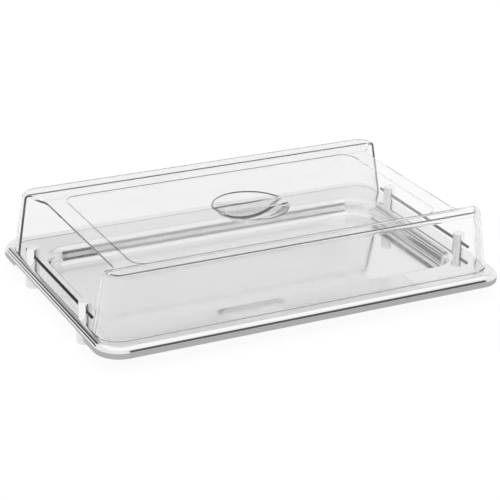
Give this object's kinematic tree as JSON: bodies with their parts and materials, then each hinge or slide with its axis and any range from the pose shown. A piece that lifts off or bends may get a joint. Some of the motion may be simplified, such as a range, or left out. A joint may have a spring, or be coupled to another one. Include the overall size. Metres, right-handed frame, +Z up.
{
  "type": "gastronorm food cover",
  "caption": "Clear lift-off food cover with a moulded grip and open ends, standing on a shallow polished steel tray with low end rails and small feet.",
  "frame": {"origin": "on the table, under the middle of the tray", "axes": "+X along the tray's length towards the right end, +Y to the back, +Z up"},
  "size_m": [0.545, 0.358, 0.107],
  "materials": {
    "tray_steel": "mirror-polished stainless steel with a satin lip",
    "clear_plastic": "water-clear polycarbonate",
    "rod_steel": "dark polished steel",
    "post_steel": "turned and polished stainless steel",
    "foot_plastic": "pale moulded plastic",
    "screw_steel": "plain steel"
  },
  "bodies": {
    "base": {"tray": "tray_steel", "left_rail_rod": "rod_steel", "right_rail_rod": "rod_steel", "rail_post_front_left": "post_steel", "rail_post_back_left": "post_steel", "rail_post_front_right": "post_steel", "rail_post_back_right": "post_steel", "foot_front_left": "foot_plastic", "foot_back_left": "foot_plastic", "foot_front_right": "foot_plastic", "foot_back_right": "foot_plastic", "post_screws": "screw_steel"},
    "cover": {"hood": "clear_plastic"}
  },
  "joints": [
    {"name": "lift_off", "type": "slide", "parent": "base", "child": "cover", "axis": [0, 0, 1], "range_m": [0, 0.2]}
  ]
}
